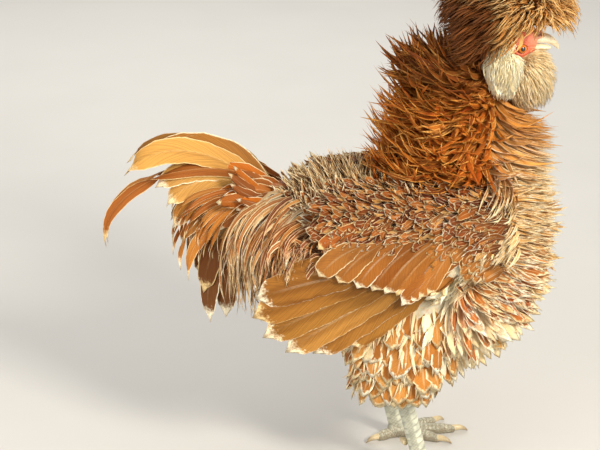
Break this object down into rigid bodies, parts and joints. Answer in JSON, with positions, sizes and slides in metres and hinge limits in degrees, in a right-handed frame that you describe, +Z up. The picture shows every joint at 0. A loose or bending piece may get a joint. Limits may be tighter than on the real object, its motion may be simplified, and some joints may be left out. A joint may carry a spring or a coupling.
{
  "type": "frizzled padovana cock, still life-size model",
  "caption": "Standing life-size model of a frizzled crested cock with beard and muffs, facing +X, for display on a floor or shelf.",
  "frame": {"origin": "middle of the bird's bounding box, on the floor plane under its feet", "axes": "+X the way the bird faces, +Y its left side, +Z up"},
  "size_m": [0.4284, 0.2002, 0.4973],
  "materials": {
    "body_feathers": "matte cream feathers with buff-orange centres",
    "hackle_feathers": "satin rust-orange hackle feathers",
    "crest_feathers": "satin golden-brown crest feathers with pale edges",
    "beard_feathers": "soft matte cream-gold feathers",
    "wing_feathers": "satin golden-buff feathers with cream edges",
    "tail_feathers": "satin golden-brown feathers with white tips",
    "thigh_feathers": "matte cream feathers with buff spangles",
    "face_skin": "soft pebbled red-pink skin",
    "horn": "smooth ivory horn",
    "eye": "wet glossy orange-red iris with a black pupil",
    "leg_scales": "pale slate scaled skin",
    "claw_horn": "dull grey-ivory horn"
  },
  "bodies": {
    "root": {"torso": "body_feathers", "neck": "hackle_feathers", "head": "face_skin", "crest": "crest_feathers", "beak_upper": "horn", "beak_lower": "horn", "eye_left": "eye", "eye_right": "eye", "muff_left": "beard_feathers", "muff_right": "beard_feathers", "beard": "beard_feathers", "wing_left": "wing_feathers", "wing_right": "wing_feathers", "tail": "tail_feathers", "thigh_left": "thigh_feathers", "thigh_right": "thigh_feathers", "shank_left": "leg_scales", "shank_right": "leg_scales", "foot_left": "leg_scales", "foot_right": "leg_scales", "spur_left": "horn", "spur_right": "horn", "claw_left_1": "claw_horn", "claw_left_2": "claw_horn", "claw_left_3": "claw_horn", "claw_left_4": "claw_horn", "claw_right_1": "claw_horn", "claw_right_2": "claw_horn", "claw_right_3": "claw_horn", "claw_right_4": "claw_horn"}
  },
  "joints": []
}
